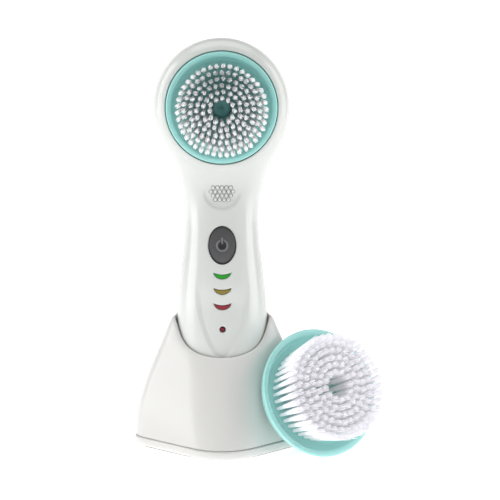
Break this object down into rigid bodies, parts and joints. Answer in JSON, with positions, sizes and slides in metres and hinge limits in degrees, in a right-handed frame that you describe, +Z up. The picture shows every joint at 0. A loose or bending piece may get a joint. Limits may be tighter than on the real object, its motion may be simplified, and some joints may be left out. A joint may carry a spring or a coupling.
{
  "type": "facial cleansing brush",
  "caption": "Cordless facial cleansing brush wand with a round rotating bristle head, leaning in its charging stand, with a spare larger brush head against the stand.",
  "frame": {"origin": "centre of the flat rubber pad under the charging stand", "axes": "+Z up, -Y towards the user (the side with the button and the bristles), +X to the user's right"},
  "size_m": [0.1119, 0.0722, 0.1831],
  "materials": {
    "pearl_white": "pearl gloss moulded",
    "button_grey": "satin soft-touch",
    "lens_green": "translucent, polished",
    "lens_amber": "translucent, polished",
    "lens_red": "translucent, polished",
    "lens_charge": "translucent, polished",
    "led": "clear epoxy",
    "seal_rubber": "matte",
    "teal": "polished moulded",
    "hub_teal": "satin moulded",
    "bristle": "fine nylon filaments",
    "steel": "ground",
    "zinc_steel": "bright zinc plate",
    "bronze": "sintered",
    "acetal": "satin moulded",
    "board": "solder-masked laminate",
    "black_plastic": "fine texture",
    "cell_wrap": "shrink sleeve",
    "copper": "enamelled wire",
    "ferrite": "sintered matte",
    "cover_white": "satin gloss moulded",
    "pad_rubber": "matte"
  },
  "bodies": {
    "stand": {"stand_cover": "cover_white", "stand_tray": "cover_white", "stand_base_pad": "pad_rubber", "stand_screws": "steel", "sending_coil": "copper", "sending_ferrite": "ferrite", "ballast_plate": "steel", "charger_board": "board", "dc_inlet": "black_plastic", "dc_inlet_pin": "steel"},
    "wand": {"front_shell": "pearl_white", "back_shell": "pearl_white", "shell_gasket": "seal_rubber", "shell_screws": "steel", "speed_lens_green": "lens_green", "speed_lens_amber": "lens_amber", "speed_lens_red": "lens_red", "charge_lens": "lens_charge", "speed_led_green": "led", "speed_led_amber": "led", "speed_led_red": "led", "charge_led": "led", "control_board": "board", "button_switch": "black_plastic", "battery": "cell_wrap", "battery_bracket": "black_plastic", "receiving_coil": "copper", "receiving_ferrite": "ferrite", "motor_can": "zinc_steel", "motor_end_cap": "black_plastic", "idler_pin": "steel", "gear_plate": "steel", "plate_screws": "steel", "rear_bush": "bronze", "front_bush": "bronze", "spindle_seal": "seal_rubber"},
    "button": {"power_button": "button_grey"},
    "motor_rotor": {"motor_shaft": "steel", "motor_pinion": "bronze"},
    "idler": {"idler_wheel": "acetal", "idler_pinion": "acetal"},
    "spindle": {"drive_spindle": "steel", "output_gear": "acetal", "spindle_clip": "steel"},
    "brush_head": {"brush_dish": "teal", "brush_hub": "hub_teal", "brush_bristles": "bristle"},
    "spare_head": {"spare_dish": "teal", "spare_hub": "hub_teal", "spare_bristles": "bristle"}
  },
  "joints": [
    {"name": "wand_lift", "type": "slide", "parent": "stand", "child": "wand", "axis": [0, 0.1045, 0.9945], "range_m": [0, 0.075]},
    {"name": "button_press", "type": "slide", "parent": "wand", "child": "button", "axis": [0, 0.9945, -0.1045], "range_m": [0, 0.0006], "stiffness_N_per_m": 600},
    {"name": "brush_spin", "type": "hinge", "parent": "wand", "child": "spindle", "pos_m": [0, 0.00645, 0.15359], "axis": [0, -0.9976, -0.0698], "continuous": true},
    {"name": "idler_spin", "type": "hinge", "parent": "wand", "child": "idler", "pos_m": [0, 0.00729, 0.14162], "axis": [0, -0.9976, -0.0698], "continuous": true},
    {"name": "motor_spin", "type": "hinge", "parent": "wand", "child": "motor_rotor", "pos_m": [0, 0.00799, 0.13165], "axis": [0, -0.9976, -0.0698], "continuous": true},
    {"name": "brush_head_pull", "type": "slide", "parent": "spindle", "child": "brush_head", "axis": [0, -0.9976, -0.0698], "range_m": [0, 0.025]},
    {"name": "spare_head_take", "type": "slide", "parent": "stand", "child": "spare_head", "axis": [0.4586, -0.8886, 0], "range_m": [0, 0.06]}
  ],
  "couplings": [
    {"joint": "idler_spin", "follows": "brush_spin", "ratio": -3},
    {"joint": "motor_spin", "follows": "brush_spin", "ratio": 9}
  ]
}
